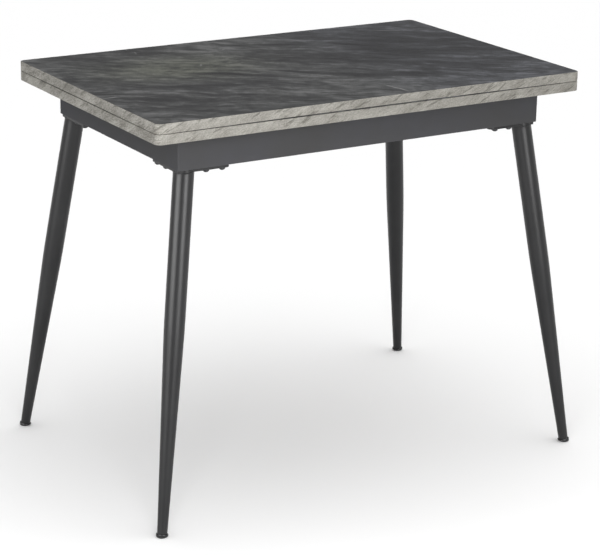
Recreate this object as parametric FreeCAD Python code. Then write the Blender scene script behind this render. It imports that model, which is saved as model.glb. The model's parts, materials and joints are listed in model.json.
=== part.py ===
import FreeCAD, Part
import math
import os

os.makedirs("parts", exist_ok=True)

# Extendable dining table with a swivel-and-fold top.
# X runs along the long side, -Y is the front, +Z is up.
# The origin is on the floor, under the centre of the closed top.
# The lower leaf turns a quarter turn on a pivot bolt, then the upper leaf folds open beside it.
# All lengths are in millimetres.

# ---- top ----
top_length = 900.0
top_width = 570.0
table_height = 750.0
leaf_thickness = 18.0
leaf_corner_radius = 12.0
edge_band_thickness = 1.0
seam_gap = 0.5
open_gap = 1.0

# ---- apron ----
apron_height = 62.0
apron_board = 18.0
apron_inset_ends = 63.0
apron_inset_sides = 45.0
apron_edge_chamfer = 1.5

# ---- gliding layer between the apron and the lower leaf ----
glide_gap = 1.5
glide_pad_length = 40.0
glide_pad_width = 12.0
glide_pad_corner_offset = 110.0
running_clearance = 0.2

# ---- legs ----
leg_top_diameter = 37.5
leg_foot_diameter = 18.5
leg_wall = 1.5
leg_straight_length = 281.0
leg_inset_end = 22.0
leg_inset_side = 20.0
leg_spread_end = 87.0
leg_spread_side = 78.5

# ---- leg plates ----
leg_plate_thickness = 5.0
leg_plate_reach = 106.0
leg_plate_tip = 20.0
leg_plate_tip_rounding = 9.0
leg_plate_inset = 2.5
leg_plate_corner_bevel = 4.0
leg_plate_rim = 1.0
leg_plate_screw_steps = (60.0, 92.0)
leg_plate_screw_margin = 1.5

# ---- foot caps ----
foot_cap_diameter = 22.5
foot_cap_height = 6.0
foot_cap_bevel = 1.0
foot_plug_length = 18.0
plug_clearance = 0.05

# ---- corner blocks ----
corner_block_reach = 55.0
corner_block_height = 45.0
corner_block_screw_offset = 16.0
corner_block_screw_margin = 1.0
corner_block_screw_heights = (28.0, 37.0)

# ---- pivot rail and its brackets ----
pivot_rail_thickness = 18.0
bracket_leg = 28.0
bracket_width = 16.0
bracket_sheet = 2.0
bracket_margin = 3.0
bracket_screw_step = 18.0

# ---- pivot hardware ----
pivot_bolt_radius = 5.0
pivot_head_radius = 11.5
pivot_head_height = 3.5
pivot_plate_side = 90.0
pivot_plate_thickness = 3.0
pivot_plate_corner = 6.0
pivot_plate_screw_inset = 12.0
pivot_fit = 0.06
bush_wall = 2.5
bush_flange_radius = 14.0
bush_flange_height = 2.0
slip_washer_radius = 22.0
washer_radius = 13.0
washer_height = 2.0
washer_bore_gap = 0.3
spring_washer_radius = 9.0
spring_washer_height = 2.2
spring_washer_split = 2.0
nut_across_flats = 17.0
nut_height = 8.0
nut_collar_radius = 7.4
nut_collar_height = 2.5
thread_gap = 0.03
bolt_tail = 3.0
recess_clearance = 0.1
thrust_clearance = 0.3

# ---- swivel stop ----
stop_block_width = 28.0
stop_block_height = 20.0
stop_arm = 110.0
stop_clearance = 0.3
stop_screw_step = 14.0

# ---- leaf hinges ----
hinge_count = 3
hinge_span = 660.0
hinge_length = 70.0
hinge_plate_height = 14.0
hinge_plate_thickness = 1.5
hinge_knuckle_radius = 3.5
hinge_knuckles = 5
hinge_pin_radius = 1.5
hinge_pin_fit = 0.05
hinge_relief = 0.4
hinge_knuckle_gap = 0.3
hinge_screw_step = 24.0
hinge_screw_drop = 9.0

# ---- bumper dots between the closed leaves ----
bumper_radius = 4.0
bumper_height = 0.4
bumper_inset = 40.0

# ---- screws: shank radius, head radius, head height, length under the seat ----
plate_screw = {"shank": 2.5, "head": 6.0, "height": 4.6, "length": 25.0}
block_screw = {"shank": 2.0, "head": 4.2, "height": 2.6, "length": 44.0}
bracket_screw = {"shank": 1.75, "head": 3.6, "height": 2.2, "length": 15.0}
pivot_screw = {"shank": 2.0, "head": 4.2, "height": 2.4, "length": 13.0}
stop_screw = {"shank": 2.0, "head": 4.0, "height": 2.6, "length": 30.0}
hinge_screw = {"shank": 1.5, "head": 2.9, "height": 1.4, "length": 16.0}
# a pan head's outline, as shares of its radius and of its height below the seat
pan_head_outline = ((0.55, 1.0), (0.85, 0.7), (1.0, 0.25), (1.0, 0.0))
socket_share = 0.45
socket_depth_share = 0.55
screw_tip = 3.0
pilot_clearance = 0.05
through_clearance = 0.3
screw_tip_radius = 0.3
end_overrun = 40.0
cut_overrun = 1.0

# ---- levels and places that follow from the sizes above ----
stack_height = 2 * leaf_thickness + seam_gap
upper_leaf_bottom = table_height - leaf_thickness
lower_leaf_top = upper_leaf_bottom - seam_gap
lower_leaf_bottom = table_height - stack_height
apron_top = lower_leaf_bottom - glide_gap
apron_bottom = apron_top - apron_height
plate_bottom = apron_bottom - leg_plate_thickness
apron_half_x = top_length / 2 - apron_inset_ends
apron_half_y = top_width / 2 - apron_inset_sides
inner_half_x = apron_half_x - apron_board
inner_half_y = apron_half_y - apron_board
leg_top_x = apron_half_x - leg_inset_end
leg_top_y = apron_half_y - leg_inset_side
foot_x = leg_top_x + leg_spread_end
foot_y = leg_top_y + leg_spread_side
pivot_x = top_width / 4
pivot_y = top_width / 4
pivot_rail_half = inner_half_y - pivot_y - stop_block_width - 2 * stop_clearance
pivot_rail_bottom = apron_top - pivot_rail_thickness
hinge_axis_y = top_width / 2 + open_gap / 2
hinge_axis_z = (lower_leaf_top + upper_leaf_bottom) / 2

CORNERS = {
    "front_left": (-1, -1),
    "front_right": (1, -1),
    "rear_left": (-1, 1),
    "rear_right": (1, 1),
}


def box(x_low, x_high, y_low, y_high, z_low, z_high):
    """Upright box between two corners."""
    corner = FreeCAD.Vector(x_low, y_low, z_low)
    return Part.makeBox(x_high - x_low, y_high - y_low, z_high - z_low, corner)


def disc(radius, x, y, z_low, z_high):
    """Upright cylinder."""
    return Part.makeCylinder(radius, z_high - z_low, FreeCAD.Vector(x, y, z_low))


def rod(radius, x_low, x_high, y, z):
    """Cylinder lying along X."""
    return Part.makeCylinder(radius, x_high - x_low, FreeCAD.Vector(x_low, y, z), FreeCAD.Vector(1, 0, 0))


def prism(outline, z_low, z_high):
    """Upright prism over a closed outline of (x, y) points."""
    points = [FreeCAD.Vector(x, y, z_low) for x, y in outline]
    face = Part.Face(Part.makePolygon(points + points[:1]))
    return face.extrude(FreeCAD.Vector(0, 0, z_high - z_low))


def turned(profile):
    """Solid of revolution about Z from a closed profile of (radius, z) points."""
    points = [FreeCAD.Vector(radius, 0, z) for radius, z in profile]
    face = Part.Face(Part.makePolygon(points + points[:1]))
    return face.revolve(FreeCAD.Vector(0, 0, 0), FreeCAD.Vector(0, 0, 1), 360)


def slab(length, width, radius, z_low, z_high, x=0.0, y=0.0):
    """Flat board with rounded vertical corners, centred on x, y."""
    block = box(x - length / 2, x + length / 2, y - width / 2, y + width / 2, z_low, z_high)
    upright = [edge for edge in block.Edges if edge.BoundBox.ZLength > (z_high - z_low) / 2]
    return block.makeFillet(radius, upright)


def placed(shape, seat, direction):
    """Copy of a shape built along +Z, turned to a direction and moved to its seat."""
    turn = FreeCAD.Rotation(FreeCAD.Vector(0, 0, 1), FreeCAD.Vector(*direction))
    copy = shape.copy()
    copy.Placement = FreeCAD.Placement(FreeCAD.Vector(*seat), turn)
    return copy


def pan_screw(size):
    """Domed screw with a hexagon socket: the seat is at the origin and the shank points to +Z."""
    head = size["head"]
    height = size["height"]
    profile = [(0, -height)]
    profile += [(across * head, -down * height) for across, down in pan_head_outline]
    profile += shank_outline(size, 0)
    socket_end = -height * (1 - socket_depth_share)
    socket = prism(hexagon(socket_share * head), -height - cut_overrun, socket_end)
    return turned(profile).cut(socket)


def shank_outline(size, start):
    """Points of a screw's shank from its start to the middle of its tip."""
    radius = size["shank"]
    length = size["length"]
    return [(radius, start), (radius, length - screw_tip), (screw_tip_radius, length), (0, length)]


def hexagon(radius, x=0.0, y=0.0):
    """Corners of a regular hexagon round a centre."""
    angles = [math.radians(60 * side) for side in range(6)]
    return [(x + radius * math.cos(angle), y + radius * math.sin(angle)) for angle in angles]


def flush_screw(size):
    """Countersunk screw: its flat head is level with the origin and the shank points to +Z."""
    return turned([(0, 0), (size["head"], 0)] + shank_outline(size, size["height"]))


def pilot(size):
    """Hole in wood for a screw's shank."""
    radius = size["shank"] + pilot_clearance
    depth = size["length"] + cut_overrun
    return turned([(0, 0), (radius, 0), (radius, depth), (0, depth)])


def countersink(size):
    """Cone and clearance hole that take a countersunk head."""
    head = size["head"] + pilot_clearance
    shank = size["shank"] + pilot_clearance
    depth = size["height"]
    end = depth + end_overrun
    return turned([(0, 0), (head, 0), (shank, depth), (shank, end), (0, end)])


def cut_all(shape, tools):
    """Cut a list of tools from a shape."""
    return shape.cut(tools) if tools else shape


# ---- screw places, shared by the screws and by every hole they pass ----
def leg_plate_screw_seats(sx, sy):
    """Seats of the five screws under one leg plate: four in the rails, the last in the corner block."""
    seats = []
    for step in leg_plate_screw_steps:
        seats.append((sx * (apron_half_x - step), sy * (apron_half_y - apron_board / 2)))
        seats.append((sx * (apron_half_x - apron_board / 2), sy * (apron_half_y - step)))
    from_leg = (leg_top_diameter / 2 + plate_screw["head"] + leg_plate_screw_margin) / math.sqrt(2)
    seats.append((sx * (leg_top_x - from_leg), sy * (leg_top_y - from_leg)))
    return [(x, y, plate_bottom) for x, y in seats]


def corner_block_screw_seats(sx, sy):
    """Seat and direction of the two screws that hold one corner block to its rails."""
    depth = corner_block_reach - corner_block_screw_offset - block_screw["head"] - corner_block_screw_margin
    across = corner_block_screw_offset
    low, high = corner_block_screw_heights
    to_side = ((sx * (inner_half_x - across), sy * (inner_half_y - depth), apron_bottom + low), (0, sy, 0))
    to_end = ((sx * (inner_half_x - depth), sy * (inner_half_y - across), apron_bottom + high), (sx, 0, 0))
    return [to_side, to_end]


def bracket_places():
    """Centre line and side of each angle bracket under the pivot rail."""
    step = pivot_rail_half - bracket_margin - bracket_width / 2
    return [(pivot_x + side * step, end) for end in (-1, 1) for side in (-1, 1)]


def bracket_screw_seats(x, end):
    """Seat and direction of the two screws in one angle bracket."""
    up = ((x, end * (inner_half_y - bracket_screw_step), pivot_rail_bottom - bracket_sheet), (0, 0, 1))
    face_y = end * (inner_half_y - bracket_sheet)
    out = ((x, face_y, pivot_rail_bottom - bracket_screw_step), (0, end, 0))
    return [up, out]


def pivot_plate_screw_seats():
    """Seats of the four screws that hold the pivot plate to the lower leaf."""
    step = pivot_plate_side / 2 - pivot_plate_screw_inset
    return [(pivot_x + i * step, pivot_y + j * step, lower_leaf_bottom) for i in (-1, 1) for j in (-1, 1)]


def stop_block_centre():
    """Centre of the swivel stop in plan, against the rear rail when the top is closed."""
    return (pivot_x - stop_arm, inner_half_y - stop_clearance - stop_block_width / 2)


def stop_screw_seats():
    """Seats of the two screws that hold the swivel stop."""
    x, y = stop_block_centre()
    bottom = lower_leaf_bottom - stop_block_height
    return [(x + side * stop_screw_step / 2, y, bottom) for side in (-1, 1)]


def hinge_centres():
    """Places of the hinges along the rear edge."""
    pitch = hinge_span / (hinge_count - 1)
    return [-hinge_span / 2 + number * pitch for number in range(hinge_count)]


def hinge_screw_seats(side):
    """Seats of the screws of every hinge; side is -1 for the lower leaf and 1 for the upper one."""
    z = hinge_axis_z + side * hinge_screw_drop
    return [(x + step * hinge_screw_step, top_width / 2, z) for x in hinge_centres() for step in (-1, 0, 1)]


# ---- top ----
def hinge_cuts(side):
    """Relief round the knuckles and recess for the plates in one leaf's rear edge."""
    cuts = []
    half = hinge_length / 2 + hinge_relief
    clear = hinge_knuckle_radius + hinge_relief
    for x in hinge_centres():
        cuts.append(rod(clear, x - half, x + half, hinge_axis_y, hinge_axis_z))
        face = hinge_axis_z + side * seam_gap / 2
        far = face + side * (hinge_plate_height + recess_clearance)
        near = face - side * cut_overrun
        back = top_width / 2
        low, high = min(near, far), max(near, far)
        cuts.append(box(x - half, x + half, back - hinge_plate_thickness, back + cut_overrun, low, high))
    for seat in hinge_screw_seats(side):
        cuts.append(placed(pilot(hinge_screw), seat, (0, -1, 0)))
    return cuts


def leaf_layers(z_low):
    """Board and edge band of one leaf, before its holes."""
    z_high = z_low + leaf_thickness
    whole = slab(top_length, top_width, leaf_corner_radius, z_low, z_high)
    core_length = top_length - 2 * edge_band_thickness
    core_width = top_width - 2 * edge_band_thickness
    core = slab(core_length, core_width, leaf_corner_radius - edge_band_thickness, z_low, z_high)
    return core, whole.cut(core)


def upper_leaf():
    core, band = leaf_layers(upper_leaf_bottom)
    cuts = hinge_cuts(1)
    return {"upper_leaf": cut_all(core, cuts), "upper_leaf_edge_band": cut_all(band, cuts)}


def lower_leaf():
    core, band = leaf_layers(lower_leaf_bottom)
    cuts = hinge_cuts(-1)
    recess_side = pivot_plate_side + 2 * recess_clearance
    recess_low = lower_leaf_bottom - cut_overrun
    recess_top = lower_leaf_bottom + pivot_plate_thickness
    corner = pivot_plate_corner + recess_clearance
    recess = slab(recess_side, recess_side, corner, recess_low, recess_top, pivot_x, pivot_y)
    head_top = recess_top + pivot_head_height + thrust_clearance
    head_clear = pivot_head_radius + through_clearance
    head_room = disc(head_clear, pivot_x, pivot_y, recess_low, head_top)
    holes = [recess, head_room]
    for seat in pivot_plate_screw_seats():
        holes.append(placed(pilot(pivot_screw), seat, (0, 0, 1)))
    for seat in stop_screw_seats():
        holes.append(placed(pilot(stop_screw), seat, (0, 0, 1)))
    return {"lower_leaf": cut_all(core, cuts + holes), "lower_leaf_edge_band": cut_all(band, cuts)}


# ---- apron ----
def apron_rails():
    """Four mitred rails with their pilot holes."""
    ox, oy = apron_half_x, apron_half_y
    ix, iy = inner_half_x, inner_half_y
    outlines = {
        "apron_front": [(-ox, -oy), (ox, -oy), (ix, -iy), (-ix, -iy)],
        "apron_rear": [(ox, oy), (-ox, oy), (-ix, iy), (ix, iy)],
        "apron_left": [(-ox, oy), (-ox, -oy), (-ix, -iy), (-ix, iy)],
        "apron_right": [(ox, -oy), (ox, oy), (ix, iy), (ix, -iy)],
    }
    holes = []
    for sx, sy in CORNERS.values():
        for seat in leg_plate_screw_seats(sx, sy):
            holes.append(placed(pilot(plate_screw), seat, (0, 0, 1)))
        for seat, direction in corner_block_screw_seats(sx, sy):
            holes.append(placed(pilot(block_screw), seat, direction))
    for x, end in bracket_places():
        for seat, direction in bracket_screw_seats(x, end):
            holes.append(placed(pilot(bracket_screw), seat, direction))
    corner_cuts = [corner_chamfer(sx, sy) for sx, sy in CORNERS.values()]
    cuts = holes + corner_cuts
    return {name: cut_all(prism(line, apron_bottom, apron_top), cuts) for name, line in outlines.items()}


def corner_chamfer(sx, sy):
    """Small bevel along the apron's outer vertical corner."""
    size = apron_edge_chamfer
    x, y = sx * apron_half_x, sy * apron_half_y
    back_x, back_y = x - sx * size, y - sy * size
    out_x, out_y = x + sx * cut_overrun, y + sy * cut_overrun
    outline = [(back_x, y), (back_x, out_y), (out_x, out_y), (out_x, back_y), (x, back_y)]
    return prism(outline, apron_bottom - cut_overrun, apron_top + cut_overrun)


def corner_blocks():
    """Triangular blocks glued and screwed into the apron's corners."""
    blocks = []
    screws = []
    for sx, sy in CORNERS.values():
        x, y = sx * inner_half_x, sy * inner_half_y
        outline = [(x, y), (x - sx * corner_block_reach, y), (x, y - sy * corner_block_reach)]
        block = prism(outline, apron_bottom, apron_bottom + corner_block_height)
        holes = [placed(pilot(plate_screw), leg_plate_screw_seats(sx, sy)[-1], (0, 0, 1))]
        for seat, direction in corner_block_screw_seats(sx, sy):
            holes.append(placed(pilot(block_screw), seat, direction))
            back = tuple(-part for part in direction)
            room = Part.makeCylinder(block_screw["head"] + through_clearance, end_overrun)
            holes.append(placed(room, seat, back))
            screws.append(placed(pan_screw(block_screw), seat, direction))
        blocks.append(cut_all(block, holes))
    return {"corner_blocks": Part.Compound(blocks), "corner_block_screws": Part.Compound(screws)}


def glide_pads():
    """Felt pads on the apron's top edges that the lower leaf slides on."""
    pads = []
    z_low, z_high = apron_top, lower_leaf_bottom - running_clearance
    half_length, half_width = glide_pad_length / 2, glide_pad_width / 2
    for sx, sy in CORNERS.values():
        x = sx * (apron_half_x - glide_pad_corner_offset)
        y = sy * (apron_half_y - apron_board / 2)
        pads.append(box(x - half_length, x + half_length, y - half_width, y + half_width, z_low, z_high))
        x = sx * (apron_half_x - apron_board / 2)
        y = sy * (apron_half_y - glide_pad_corner_offset)
        pads.append(box(x - half_width, x + half_width, y - half_length, y + half_length, z_low, z_high))
    return {"glide_pads": Part.Compound(pads)}


# ---- pivot rail ----
def pivot_rail():
    """Cross rail that carries the pivot, with its brackets and their screws."""
    left, right = pivot_x - pivot_rail_half, pivot_x + pivot_rail_half
    rail = box(left, right, -inner_half_y, inner_half_y, pivot_rail_bottom, apron_top)
    bush_radius = pivot_bolt_radius + pivot_fit + bush_wall
    holes = [disc(bush_radius, pivot_x, pivot_y, pivot_rail_bottom - cut_overrun, apron_top + cut_overrun)]
    brackets = []
    screws = []
    for x, end in bracket_places():
        face = end * inner_half_y
        low, high = sorted((face, face - end * bracket_leg))
        z = pivot_rail_bottom
        flange = box(x - bracket_width / 2, x + bracket_width / 2, low, high, z - bracket_sheet, z)
        low, high = sorted((face, face - end * bracket_sheet))
        upright = box(x - bracket_width / 2, x + bracket_width / 2, low, high, z - bracket_leg, z)
        bracket = flange.fuse(upright).removeSplitter()
        for seat, direction in bracket_screw_seats(x, end):
            hole = placed(pilot(bracket_screw), seat, direction)
            bracket = bracket.cut(hole)
            holes.append(hole)
            screws.append(placed(pan_screw(bracket_screw), seat, direction))
        brackets.append(bracket)
    return {
        "pivot_rail": cut_all(rail, holes),
        "rail_brackets": Part.Compound(brackets),
        "rail_bracket_screws": Part.Compound(screws),
    }


# ---- pivot hardware ----
def pivot_stack():
    """Bush and slip washer in the frame, and the bolt with all that turns with it."""
    x, y = pivot_x, pivot_y
    bore = pivot_bolt_radius + pivot_fit
    flange_bottom = pivot_rail_bottom - bush_flange_height
    bush = disc(bore + bush_wall, x, y, pivot_rail_bottom, apron_top)
    bush = bush.fuse(disc(bush_flange_radius, x, y, flange_bottom, pivot_rail_bottom)).removeSplitter()
    bush = bush.cut(disc(bore, x, y, flange_bottom - cut_overrun, apron_top + cut_overrun))
    slip_top = lower_leaf_bottom - running_clearance
    slip_bore = pivot_bolt_radius + through_clearance
    slip_hole = disc(slip_bore, x, y, apron_top - cut_overrun, slip_top + cut_overrun)
    slip = disc(slip_washer_radius, x, y, apron_top, slip_top).cut(slip_hole)

    plate_top = lower_leaf_bottom + pivot_plate_thickness
    plate = slab(pivot_plate_side, pivot_plate_side, pivot_plate_corner, lower_leaf_bottom, plate_top, x, y)
    plate = plate.cut(disc(bore, x, y, lower_leaf_bottom - cut_overrun, plate_top + cut_overrun))
    screws = []
    for seat in pivot_plate_screw_seats():
        plate = plate.cut(placed(countersink(pivot_screw), seat, (0, 0, 1)))
        screws.append(placed(flush_screw(pivot_screw), seat, (0, 0, 1)))

    washer_top = flange_bottom - thrust_clearance
    washer_bottom = washer_top - washer_height
    washer_bore = pivot_bolt_radius + washer_bore_gap
    spring_bottom = washer_bottom - spring_washer_height
    washer_hole = disc(washer_bore, x, y, spring_bottom - cut_overrun, washer_top + cut_overrun)
    washer = disc(washer_radius, x, y, washer_bottom, washer_top).cut(washer_hole)
    spring = disc(spring_washer_radius, x, y, spring_bottom, washer_bottom).cut(washer_hole)
    half_split = spring_washer_split / 2
    reach = x + spring_washer_radius + cut_overrun
    split = box(x, reach, y - half_split, y + half_split, spring_bottom - cut_overrun, washer_top)
    spring = spring.cut(split)

    nut_bottom = spring_bottom - nut_height
    nut_radius = nut_across_flats / math.sqrt(3)
    collar_bottom = nut_bottom - nut_collar_height
    nut = prism(hexagon(nut_radius, x, y), nut_bottom, spring_bottom)
    nut = nut.fuse(disc(nut_collar_radius, x, y, collar_bottom, nut_bottom)).removeSplitter()
    thread = disc(pivot_bolt_radius + thread_gap, x, y, collar_bottom - cut_overrun, washer_top)
    nut = nut.cut(thread)

    bolt_bottom = collar_bottom - bolt_tail
    bolt = disc(pivot_bolt_radius, x, y, bolt_bottom, plate_top)
    head = disc(pivot_head_radius, x, y, plate_top, plate_top + pivot_head_height)
    bolt = bolt.fuse(head).removeSplitter()
    return {
        "pivot_bush": bush,
        "slip_washer": slip,
        "pivot_plate": plate,
        "pivot_plate_screws": Part.Compound(screws),
        "pivot_washer": washer,
        "spring_washer": spring,
        "lock_nut": nut,
        "pivot_bolt": bolt,
    }


def swivel_stop():
    """Block under the lower leaf: it meets the rear rail when closed and the pivot rail when turned."""
    x, y = stop_block_centre()
    half = stop_block_width / 2
    bottom = lower_leaf_bottom - stop_block_height
    block = box(x - half, x + half, y - half, y + half, bottom, lower_leaf_bottom)
    screws = []
    for seat in stop_screw_seats():
        block = block.cut(placed(pilot(stop_screw), seat, (0, 0, 1)))
        screws.append(placed(pan_screw(stop_screw), seat, (0, 0, 1)))
    return {"swivel_stop": block, "swivel_stop_screws": Part.Compound(screws)}


# ---- leaf hinges ----
def hinge_half(x, side):
    """Plate and knuckles of one hinge half; side is -1 for the lower leaf and 1 for the upper one."""
    left = x - hinge_length / 2
    face = hinge_axis_z + side * seam_gap / 2
    low, high = sorted((face, face + side * hinge_plate_height))
    back = top_width / 2
    half = box(left, left + hinge_length, back - hinge_plate_thickness, back, low, high)
    pitch = hinge_length / hinge_knuckles
    gap = hinge_knuckle_gap / 2
    clear = hinge_knuckle_radius + hinge_relief
    own = 0 if side < 0 else 1
    for number in range(hinge_knuckles):
        start = left + number * pitch
        end = start + pitch
        if number % 2 == own:
            knuckle = rod(hinge_knuckle_radius, start + gap, end - gap, hinge_axis_y, hinge_axis_z)
            half = half.fuse(knuckle)
        else:
            half = half.cut(rod(clear, start - gap, end + gap, hinge_axis_y, hinge_axis_z))
    bore = hinge_pin_radius + hinge_pin_fit
    right = left + hinge_length
    half = half.cut(rod(bore, left - cut_overrun, right + cut_overrun, hinge_axis_y, hinge_axis_z))
    for seat in hinge_screw_seats(side):
        if abs(seat[0] - x) < hinge_length / 2:
            half = half.cut(placed(countersink(hinge_screw), seat, (0, -1, 0)))
    return half.removeSplitter()


def hinges():
    """Butt hinges let into the rear edges of both leaves."""
    pins = []
    for x in hinge_centres():
        left = x - hinge_length / 2
        pins.append(rod(hinge_pin_radius, left, left + hinge_length, hinge_axis_y, hinge_axis_z))
    nodes = {"hinge_pins": Part.Compound(pins)}
    for name, side in (("lower", -1), ("upper", 1)):
        nodes["hinge_plates_" + name] = Part.Compound([hinge_half(x, side) for x in hinge_centres()])
        screws = [placed(flush_screw(hinge_screw), seat, (0, -1, 0)) for seat in hinge_screw_seats(side)]
        nodes["hinge_screws_" + name] = Part.Compound(screws)
    return nodes


def bumper_dots():
    """Clear dots on the lower leaf that keep the closed leaves apart."""
    dots = []
    x = top_length / 2 - bumper_inset
    y = top_width / 2 - bumper_inset
    for sx in (-1, 0, 1):
        for sy in (-1, 1):
            dots.append(disc(bumper_radius, sx * x, sy * y, lower_leaf_top, lower_leaf_top + bumper_height))
    return {"bumper_dots": Part.Compound(dots)}


# ---- legs ----
def leg_direction(sx, sy):
    """Unit vector from a leg's foot up to its top."""
    rise = FreeCAD.Vector(-sx * leg_spread_end, -sy * leg_spread_side, plate_bottom)
    return rise.normalize()


def leg_length():
    """Length of a leg's axis from the floor to the leg plate."""
    return math.sqrt(leg_spread_end ** 2 + leg_spread_side ** 2 + plate_bottom ** 2)


def leg_outline(wall):
    """Radius and height points of the leg's surface, set in by a wall; the axis starts at the foot."""
    top_radius = leg_top_diameter / 2 - wall
    foot_radius = leg_foot_diameter / 2 - wall
    length = leg_length()
    shoulder = length - leg_straight_length
    return [(foot_radius, foot_cap_height), (top_radius, shoulder), (top_radius, length + end_overrun)]


def leg_set(name, sx, sy):
    """Tapered tube, welded plate, foot cap and screws of one leg."""
    direction = leg_direction(sx, sy)
    foot = (sx * foot_x, sy * foot_y, 0)
    outer = leg_outline(0)
    inner = leg_outline(leg_wall)
    tube = placed(turned(outer + inner[::-1]), foot, direction)
    reach = top_length + top_width
    above = box(-reach, reach, -reach, reach, plate_bottom, plate_bottom + reach)
    tube = tube.cut(above)

    cap_radius = foot_cap_diameter / 2
    plug_radius = inner[0][0] - plug_clearance
    plug_top = foot_cap_height + foot_plug_length
    cap_profile = [
        (0, -foot_cap_height),
        (cap_radius, -foot_cap_height),
        (cap_radius, foot_cap_height - foot_cap_bevel),
        (cap_radius - foot_cap_bevel, foot_cap_height),
        (plug_radius, foot_cap_height),
        (plug_radius, plug_top),
        (0, plug_top),
    ]
    cap = placed(turned(cap_profile), foot, direction)
    cap = cap.cut(box(-reach, reach, -reach, reach, -reach, 0))

    seats = leg_plate_screw_seats(sx, sy)
    screws = [placed(pan_screw(plate_screw), seat, (0, 0, 1)) for seat in seats]
    nodes = {"leg_tube_" + name: tube, "leg_plate_" + name: leg_plate(sx, sy), "foot_cap_" + name: cap}
    return nodes, screws


def leg_plate(sx, sy):
    """Corner plate: two arms with rounded tips under the rails, a web between them, a collar over the leg."""
    corner_x = sx * (apron_half_x - leg_plate_inset)
    corner_y = sy * (apron_half_y - leg_plate_inset)
    arm = leg_plate_reach - leg_plate_inset
    tip = leg_plate_tip
    levels = (plate_bottom, apron_bottom)
    rounding = leg_plate_tip_rounding
    to_end = slab(arm, tip, rounding, *levels, corner_x - sx * arm / 2, corner_y - sy * tip / 2)
    to_side = slab(tip, arm, rounding, *levels, corner_x - sx * tip / 2, corner_y - sy * arm / 2)
    straight = arm - rounding
    bevel = leg_plate_corner_bevel
    web_steps = [(bevel, 0), (straight, 0), (straight, tip), (tip, straight), (0, straight), (0, bevel)]
    web = prism([(corner_x - sx * across, corner_y - sy * along) for across, along in web_steps], *levels)
    collar = disc(leg_top_diameter / 2 + leg_plate_rim, sx * leg_top_x, sy * leg_top_y, *levels)
    plate = to_end.fuse([to_side, web, collar]).removeSplitter()
    hole_radius = plate_screw["shank"] + through_clearance
    holes = [disc(hole_radius, x, y, z - cut_overrun, apron_bottom + cut_overrun)
             for x, y, z in leg_plate_screw_seats(sx, sy)]
    return cut_all(plate, holes)


def legs():
    nodes = {}
    all_screws = []
    for name, (sx, sy) in CORNERS.items():
        leg_nodes, screws = leg_set(name, sx, sy)
        nodes.update(leg_nodes)
        all_screws.extend(screws)
    nodes["leg_plate_screws"] = Part.Compound(all_screws)
    return nodes


def main():
    nodes = {}
    for make in (upper_leaf, lower_leaf, apron_rails, corner_blocks, glide_pads, pivot_rail,
                 pivot_stack, swivel_stop, hinges, bumper_dots, legs):
        nodes.update(make())
    for name, shape in nodes.items():
        shape.exportStep("parts/" + name + ".step")
        print(name, len(shape.Solids), "solids, valid" if shape.isValid() else "solids, NOT VALID")


main()
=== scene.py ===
import json
import math

import bpy
import numpy as np
from mathutils import Matrix, Vector


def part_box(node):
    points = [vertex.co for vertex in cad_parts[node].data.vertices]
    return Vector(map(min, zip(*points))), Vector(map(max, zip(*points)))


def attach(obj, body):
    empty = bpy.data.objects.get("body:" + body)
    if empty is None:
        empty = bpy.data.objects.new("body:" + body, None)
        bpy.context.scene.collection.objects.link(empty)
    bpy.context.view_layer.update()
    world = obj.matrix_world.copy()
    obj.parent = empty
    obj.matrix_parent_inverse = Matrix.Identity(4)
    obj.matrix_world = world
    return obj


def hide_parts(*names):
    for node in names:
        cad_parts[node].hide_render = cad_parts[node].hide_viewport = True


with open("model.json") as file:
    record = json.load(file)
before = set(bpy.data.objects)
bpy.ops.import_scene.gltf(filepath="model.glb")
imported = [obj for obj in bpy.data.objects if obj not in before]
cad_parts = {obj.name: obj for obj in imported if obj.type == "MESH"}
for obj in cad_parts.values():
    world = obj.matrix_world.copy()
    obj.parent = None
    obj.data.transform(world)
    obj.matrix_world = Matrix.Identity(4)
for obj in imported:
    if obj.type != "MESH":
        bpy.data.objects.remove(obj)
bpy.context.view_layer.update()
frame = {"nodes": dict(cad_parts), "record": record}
print("frame loaded:", len(frame["nodes"]), "nodes")

corners = ("front_left", "front_right", "rear_left", "rear_right")
noiseSpan = (0.3, 0.7)    # the range that a noise texture mostly fills


class Wire:
    # one output of a material's node tree; the operators add Math nodes

    def __init__(self, finish, socket):
        self.finish = finish
        self.socket = socket

    def math(self, operation, first, second=0.0):
        return self.finish.node("ShaderNodeMath", {"operation": operation}, {0: first, 1: second})

    def __add__(self, other):
        return self.math("ADD", self, other)

    def __radd__(self, other):
        return self.math("ADD", other, self)

    def __sub__(self, other):
        return self.math("SUBTRACT", self, other)

    def __rsub__(self, other):
        return self.math("SUBTRACT", other, self)

    def __mul__(self, other):
        return self.math("MULTIPLY", self, other)

    def __rmul__(self, other):
        return self.math("MULTIPLY", other, self)

    def __abs__(self):
        return self.math("ABSOLUTE", self)


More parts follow.
